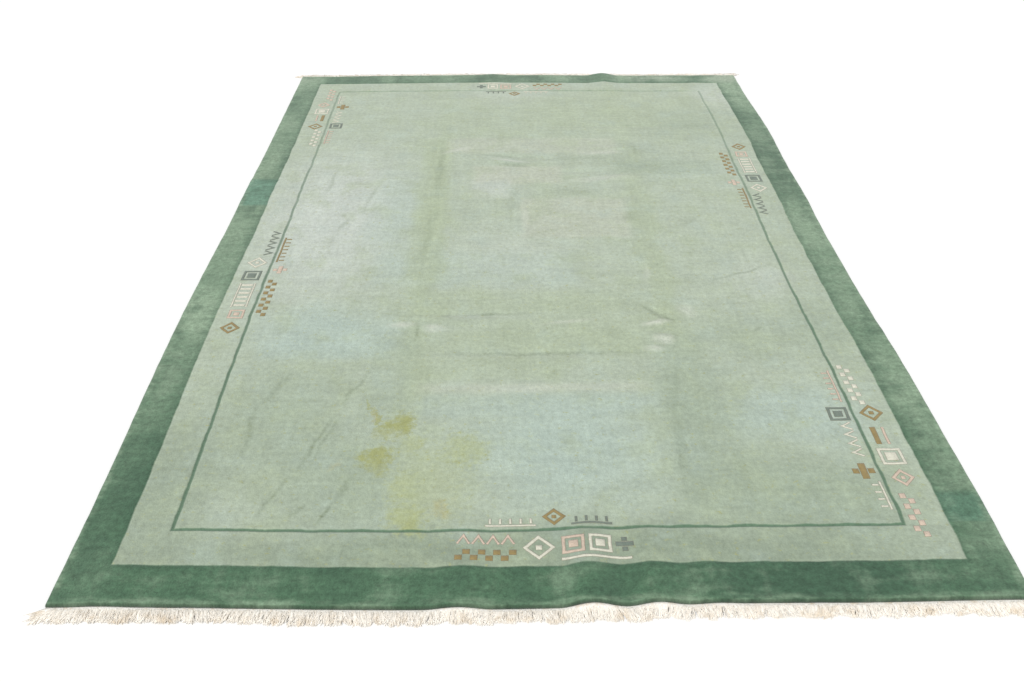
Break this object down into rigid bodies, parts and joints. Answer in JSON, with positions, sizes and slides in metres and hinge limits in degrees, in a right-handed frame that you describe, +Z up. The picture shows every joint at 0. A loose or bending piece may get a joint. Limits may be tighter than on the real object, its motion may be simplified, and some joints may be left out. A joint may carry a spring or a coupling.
{
  "type": "nepalese rug",
  "caption": "Rectangular hand-knotted wool rug lying flat, with a darker border, an incised line round its field, low ripples at the ends and a short fringe of warp ends.",
  "frame": {"origin": "on the floor under the middle of the rug", "axes": "+Z up from the floor, +Y along the rug from the near fringe to the far one, +X across it"},
  "size_m": [2.0318, 3.115, 0.0209],
  "materials": {
    "wool_pile": "short cut wool pile, pale sage green with a darker green border",
    "warp_fringe": "undyed ivory cotton warp yarn"
  },
  "bodies": {
    "root": {"pile_rug": "wool_pile", "fringe_near": "warp_fringe", "fringe_far": "warp_fringe"}
  },
  "joints": []
}
